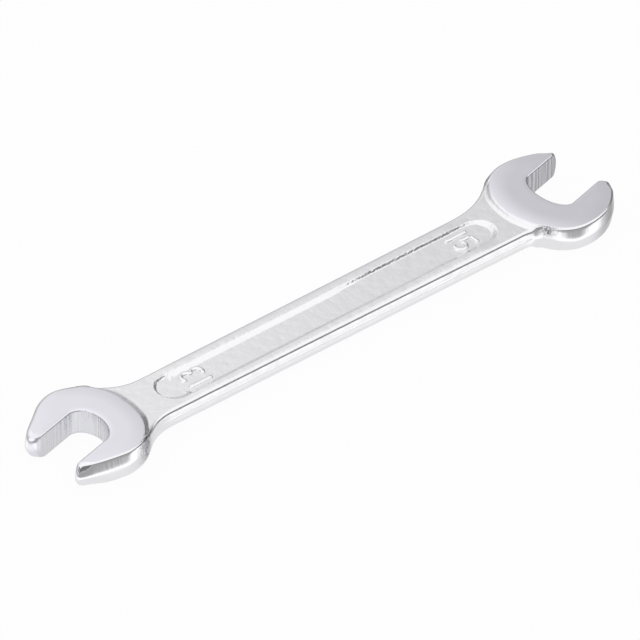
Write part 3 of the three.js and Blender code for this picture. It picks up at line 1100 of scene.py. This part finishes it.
def milled_chrome(finish):
    """Chromium plate over jaw flats and throats that were milled straight down through the head.

    The eye gets straight lines from face to face, 0.4 to 1 mm apart, some deeper than others, and a
    greyer, hazier shine than on the faces.
    """
    material, tree, shader = new_material("plated_milled_steel")
    cuts = noise(tree, stretched(tree, surface_place(tree), (1.0, 0.05, 1)), 1.0, 4.0, "2D")
    colour, stops = opaque(finish.milled_colour), [(0.3, 0.2), (0.7, 0.34)]
    return plated(material, tree, shader, colour, cuts, stops, cuts, strength=0.75, depth=0.0004)


# The studio

# Directions in the studio are degrees round from +X and degrees up from the floor. A spot has its
# direction, the angles of its full core and of its soft rim, and its grey level.
SKY = [(0.0, 0.48), (0.25, 0.5), (0.5, 0.66), (0.62, 0.83), (0.74, 0.89), (1.0, 0.9)]
GREY_CLOTH = (30, 30, 13.5, 23, 0.52)
DARK_CLOTH = (12, 16, 12, 30, 0.16)
BRIGHT_SCREEN = (-30, 30, 14, 26, 1.0)
WHITE_CARD = (188, 6, 20, 36, 0.98)
ROOM = (-75, 8, 50, 62)
ROOM_LEVELS = (0.42, 0.15, 0.88)
ROOM_FLOOR, ROOM_TOP = (-0.12, -0.02), (0.34, 0.5)

# The floor reaches this far and lies just under the wrench.
FLOOR_REACH, FLOOR_LOW = 6.0, -0.00002

# The sheet, which glows with painted light and painted shade: its reach and height, and the
# bounds and grey levels of its parts.
SHEET_REACH, SHEET_LOW = 0.9, -0.15
SHEET_LEFT, SHEET_RIGHT, SHEET_SIDES = 1.0, 0.8, (-0.3, -0.12)
FRONT_BAND, FRONT_FROM, FRONT_TO = 1.15, (-0.13, -0.21), (-0.28, -0.33)
FRONT_END = 0.36
SHADE, SHADE_CENTRE, SHADE_RADII = 0.3, (0.33, 0.0, 0.0), (0.24, 0.12)
BORDER_LEFT, BORDER_RIGHT, BORDER_SIDES = 0.5, 0.12, (-0.1, 0.15)
BORDER = (0.4, 0.6)

# The camera, fitted to the photograph: degrees up and round from the near side, and its distance.
CAMERA_UP, CAMERA_SIDE = 37.931, 39.488
CAMERA_DISTANCE = 1.6610375
CAMERA_TARGET = (-0.001604, -0.000063, 0.003015)
CAMERA_CLIP = (0.1, 20)
PIXELS_PER_MM = 4.067
FRAME_PIXELS = 640
SENSOR = 36


def flat_square(name, reach, low, material):
    """A level square round the origin, as far as its reach on each side."""
    mesh = bpy.data.meshes.new(name)
    corners = [(x * reach, y * reach, low) for x, y in ((-1, -1), (1, -1), (1, 1), (-1, 1))]
    mesh.from_pydata(corners, [], [(0, 1, 2, 3)])
    mesh.materials.append(material)
    return add_object(name, mesh)


def make_floor(light):
    """A wide pale floor just under the wrench.

    To the eye it is mostly plain white, and the rest of it takes light and shadow. In the metal it is
    clear, like the glass over a white sheet on which such things are photographed.
    """
    material, tree, shader = new_material("white_paper")
    feed(tree, shader.inputs["Base Color"], linear("F2F2F3"))
    feed(tree, shader.inputs["Roughness"], 0.9)
    feed(tree, shader.inputs["Specular IOR Level"], 0.0)
    path = add_node(tree, "LightPath").outputs
    eye = maths(tree, "MULTIPLY", path["Is Camera Ray"], light.floor_white)
    white = add_node(tree, "Emission", {"Color": grey(1.0), "Strength": 1.0})
    seen = add_node(tree, "MixShader", {0: eye, 1: shader.outputs[0], 2: white.outputs[0]})
    clear = add_node(tree, "BsdfTransparent")
    both = {0: path["Is Glossy Ray"], 1: seen.outputs[0], 2: clear.outputs[0]}
    shown = add_node(tree, "MixShader", both)
    feed(tree, tree.nodes["Material Output"].inputs["Surface"], shown.outputs[0])
    floor = flat_square("floor", FLOOR_REACH, FLOOR_LOW, material)


def passing(tree, value, start, end):
    """Rises softly from 0 to 1 while a value passes from start to end, which may be the lower one."""
    rising = start < end
    inputs = {"Value": value, "From Min": min(start, end), "From Max": max(start, end)}
    inputs.update({"To Min": 0.0 if rising else 1.0, "To Max": 1.0 if rising else 0.0})
    return add_node(tree, "MapRange", inputs, interpolation_type="SMOOTHSTEP").outputs[0]


def make_sheet(light):
    """A glowing white sheet far below the glass, which the upright sides of the wrench show.

    Its light and shade are painted. Painted light is brightest to the left and in a band in front
    of the wrench. Painted shade darkens it to the right of the wrench and at the sheet's border, and
    it is darkest in the room on the right.
    """
    material, tree, _ = new_material("lit_paper")
    place = object_place(tree)
    parts = add_node(tree, "SeparateXYZ", {0: place}).outputs
    x, y = parts["X"], parts["Y"]
    # Painted light, falling off from left to right.
    colour = blend(tree, passing(tree, x, *SHEET_SIDES), grey(SHEET_LEFT), grey(SHEET_RIGHT))
    colour = blend(tree, passing(tree, y, *FRONT_FROM), colour, grey(FRONT_BAND))
    # Painted shade in a patch to the right of the wrench.
    shade = add_node(tree, "VectorMath", {0: place, 1: SHADE_CENTRE}, operation="DISTANCE")
    colour = blend(tree, passing(tree, shade.outputs["Value"], *SHADE_RADII), colour, grey(SHADE))
    away = add_node(tree, "VectorMath", {0: place}, operation="LENGTH").outputs["Value"]
    beyond = blend(tree, passing(tree, x, *BORDER_SIDES), grey(BORDER_LEFT), grey(BORDER_RIGHT))
    colour = blend(tree, passing(tree, away, *BORDER), colour, beyond)
    colour = blend(tree, passing(tree, y, *FRONT_TO), colour, grey(FRONT_END))
    glow = add_node(tree, "Emission", {"Color": colour, "Strength": light.sheet_level})
    feed(tree, tree.nodes["Material Output"].inputs["Surface"], glow.outputs[0])
    sheet = flat_square("sheet", SHEET_REACH, SHEET_LOW, material)


def soft_spot(tree, place, azimuth, elevation, core, rim):
    """1 within the core's angle of a direction, falling softly to 0 at the rim's angle."""
    a, e = math.radians(azimuth), math.radians(elevation)
    towards = (math.cos(a) * math.cos(e), math.sin(a) * math.cos(e), math.sin(e))
    dot = add_node(tree, "VectorMath", {0: place, 1: towards}, operation="DOT_PRODUCT")
    return passing(tree, dot.outputs["Value"], math.cos(math.radians(rim)), math.cos(math.radians(core)))


def make_world(light):
    """The studio round the wrench, as the plating shows it.

    Soft light comes from overhead and thins out towards the horizon. A grey cloth hangs high on the
    far right with a dark one below it, a bright screen stands on the near right, and a white card
    stands on the left. In front the room is dark up to a little over the horizon, and bright above.
    """
    world = bpy.data.worlds.new("studio")
    bpy.context.scene.world = world
    world.use_nodes = True
    tree = world.node_tree
    place = add_node(tree, "TexCoord").outputs["Generated"]
    z = add_node(tree, "SeparateXYZ", {0: place}).outputs["Z"]
    colour = ramp(tree, z, SKY)
    for *spot, level in (GREY_CLOTH, DARK_CLOTH, BRIGHT_SCREEN, WHITE_CARD):
        colour = blend(tree, soft_spot(tree, place, *spot), colour, grey(level))
    below, dark, above = ROOM_LEVELS
    room = blend(tree, passing(tree, z, *ROOM_FLOOR), grey(below), grey(dark))
    room = blend(tree, passing(tree, z, *ROOM_TOP), room, grey(above))
    colour = blend(tree, soft_spot(tree, place, *ROOM), colour, room)
    back = tree.nodes["Background"]
    feed(tree, back.inputs["Color"], colour)
    feed(tree, back.inputs["Strength"], light.sky_level)
    path = add_node(tree, "LightPath").outputs
    white = add_node(tree, "Background", {"Color": grey(1.0), "Strength": 1.0})
    both = {0: path["Is Camera Ray"], 1: back.outputs[0], 2: white.outputs[0]}
    shown = add_node(tree, "MixShader", both)
    feed(tree, tree.nodes["World Output"].inputs["Surface"], shown.outputs[0])


def make_camera():
    """The camera at the photograph's viewing angle: 38 degrees up, from the near left."""
    up, side = math.radians(CAMERA_UP), math.radians(CAMERA_SIDE)
    target = Vector(CAMERA_TARGET)
    back = Vector((-math.sin(side) * math.cos(up), -math.cos(side) * math.cos(up), math.sin(up)))
    right = Vector((math.cos(side), -math.sin(side), 0))
    data = bpy.data.cameras.new("camera")
    data.sensor_width = SENSOR
    data.lens = CAMERA_DISTANCE / MM * PIXELS_PER_MM / FRAME_PIXELS * SENSOR
    data.clip_start, data.clip_end = CAMERA_CLIP
    camera = add_object("camera", data)
    turn = Matrix((right, back.cross(right), back)).transposed()
    camera.matrix_world = Matrix.Translation(target + back * CAMERA_DISTANCE) @ turn.to_4x4()
    bpy.context.scene.camera = camera


# Properties


def length_property(name, description, default):
    """A length that a user can change, in metres."""
    return FloatProperty(name=name, description=description, default=default, unit="LENGTH")


def colour_property(name, description, hex_colour):
    """A colour that a user can change, from an sRGB hex value."""
    default = linear(hex_colour)[:3]
    return FloatVectorProperty(
        name=name, description=description, subtype="COLOR", default=default, min=0, max=1
    )


def level_property(name, description, default, most):
    """A strength or a share that a user can change, from 0 up to the most."""
    return FloatProperty(
        name=name, description=description, subtype="FACTOR", default=default, min=0, max=most
    )


class WrenchSizes(bpy.types.PropertyGroup):
    """The sizes of the wrench that a user would change."""

    small_opening: length_property("Small opening", "Across the flats of the smaller jaw", 0.013)
    large_opening: length_property("Large opening", "Across the flats of the larger jaw", 0.015)
    small_head_radius: length_property("Small head radius", "Radius of the smaller head", 0.0154)
    large_head_radius: length_property("Large head radius", "Radius of the larger head", 0.01695)
    head_thickness: length_property("Head thickness", "Between the faces of a head", 0.0072)
    shank_thickness: length_property("Shank thickness", "Between the two sides of the shank", 0.0052)
    shank_half_width: length_property("Shank half width", "From the shank's middle to its edge", 0.0079)
    shank_edge_radius: length_property("Shank edge radius", "Rounding of the shank's edges", 0.0008)
    recess_length: length_property("Recess length", "Length of the panel in the shank", 0.106)
    recess_width: length_property("Recess width", "Width of the panel in the shank", 0.0095)
    recess_depth: length_property("Recess depth", "Depth of the panel in the shank", 0.0007)


class WrenchFinish(bpy.types.PropertyGroup):
    """The colours of the wrench's plating, and the colour of the shade painted into the corners of heads and
    shank.
    """

    plate_colour: colour_property("Plate", "Colour of the heads' faces", "F2F0F8")
    skin_colour: colour_property("Skin plate", "Colour of the shank and of the heads' sides", "FBFAFD")
    # Painted shade: the dark colour mixed in specks into the corner of head and shank.
    corner_shade_colour: colour_property("Corner plate", "Colour of corners that no wheel reaches", "66666E")
    milled_colour: colour_property("Milled plate", "Colour of the milled jaws", "E4E4E9")


class WrenchLight(bpy.types.PropertyGroup):
    """The levels of the studio's light."""

    sky_level: level_property("Sky level", "Strength of the studio's soft light", 1.1, 10)
    floor_white: level_property("Floor white", "Share of the floor that is plain white", 0.95, 1)
    sheet_level: level_property("Sheet level", "Strength of the lit sheet below the glass", 1.0, 10)


# Operators

# The steeper a place on the faces, the coarser its pits, up to this height of them at this slope.
COARSE_HEIGHT, COARSE_SLOPE = 2, 0.5
LEAST_FACES = 1000


class WRENCH_OT_forging(bpy.types.Operator):
    """Makes the forging: both heads, the shank and its recesses, as one closed surface"""

    bl_idname = "wrench.forging"
    bl_label = "Make Forging"

    def execute(self, context):
        plan = Plan(context.scene.wrench_sizes)
        forging = build_forging(plan)
        verts, inner = forging["verts"], forging["inner"]
        slope_x, slope_y = slopes(plan, verts[inner, :2])
        normals = np.zeros_like(verts)
        normals[inner] = unit(np.stack([-slope_x, -slope_y, np.sign(verts[inner, 2])], 1))
        coarse = np.zeros(len(verts))
        coarse[inner] = COARSE_HEIGHT * smooth(np.hypot(slope_x, slope_y) / COARSE_SLOPE)
        masks = {"polish": forging["polish"], "corner": forging["corner"], "coarse": coarse}
        middle = (verts[:, :2].min(0) + verts[:, :2].max(0)) / 2
        context.scene["wrench_middle"] = [float(v) for v in middle]
        look = context.scene.wrench_finish
        materials = [make(look) for make in (polished_chrome, forged_chrome, milled_chrome, ground_chrome)]
        faces, finish, coords = forging["faces"], forging["finish"], forging["coords"]
        verts = settled(verts, middle, plan)
        piece = make_object("forging", verts, faces, materials, finish, coords, masks, normals)
        if len(piece.data.polygons) < LEAST_FACES:
            raise RuntimeError("the forging came out empty")
        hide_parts(NODE)
        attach(piece, BODY)
        return {"FINISHED"}


class WRENCH_OT_numerals(bpy.types.Operator):
    """Makes the raised size numerals on both sides of the shank"""

    bl_idname = "wrench.numerals"
    bl_label = "Make Numerals"

    def execute(self, context):
        plan = Plan(context.scene.wrench_sizes)
        material = forged_chrome(context.scene.wrench_finish)
        for name, digits, x, turn in PAIRS:
            verts, faces = build_numerals(plan, digits, x, turn)
            verts = settled(verts, context.scene["wrench_middle"], plan)
            piece = make_object(name, verts, faces, [material])
            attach(piece, BODY)
        return {"FINISHED"}


class WRENCH_OT_stage(bpy.types.Operator):
    """Makes the floor, the lit sheet below it, the soft studio light and the camera"""

    bl_idname = "wrench.stage"
    bl_label = "Make Stage"

    def execute(self, context):
        light = context.scene.wrench_light
        make_floor(light)
        make_sheet(light)
        make_world(light)
        make_camera()
        context.scene.view_settings.view_transform = "Standard"
        return {"FINISHED"}


class WRENCH_PT_panel(bpy.types.Panel):
    """The wrench's sizes, finish and light, and the steps that make it"""

    bl_idname = "WRENCH_PT_panel"
    bl_label = "Open End Wrench"
    bl_space_type = "VIEW_3D"
    bl_region_type = "UI"
    bl_category = "Wrench"

    def draw(self, context):
        for group in (context.scene.wrench_sizes, context.scene.wrench_finish, context.scene.wrench_light):
            box = self.layout.box()
            for key in group.bl_rna.properties.keys():
                if key not in {"rna_type", "name"}:
                    box.prop(group, key)
        for operator in (WRENCH_OT_forging, WRENCH_OT_numerals, WRENCH_OT_stage):
            self.layout.operator(operator.bl_idname)


CLASSES = (
    WrenchSizes,
    WrenchFinish,
    WrenchLight,
    WRENCH_OT_forging,
    WRENCH_OT_numerals,
    WRENCH_OT_stage,
    WRENCH_PT_panel,
)


def register():
    for c in CLASSES:
        bpy.utils.register_class(c)
    bpy.types.Scene.wrench_sizes = PointerProperty(type=WrenchSizes)
    bpy.types.Scene.wrench_finish = PointerProperty(type=WrenchFinish)
    bpy.types.Scene.wrench_light = PointerProperty(type=WrenchLight)


def unregister():
    del bpy.types.Scene.wrench_light
    del bpy.types.Scene.wrench_finish
    del bpy.types.Scene.wrench_sizes
    for c in reversed(CLASSES):
        bpy.utils.unregister_class(c)


def main():
    register()
    bpy.ops.wrench.forging()
    bpy.ops.wrench.numerals()
    bpy.ops.wrench.stage()


if __name__ == "__main__":
    main()
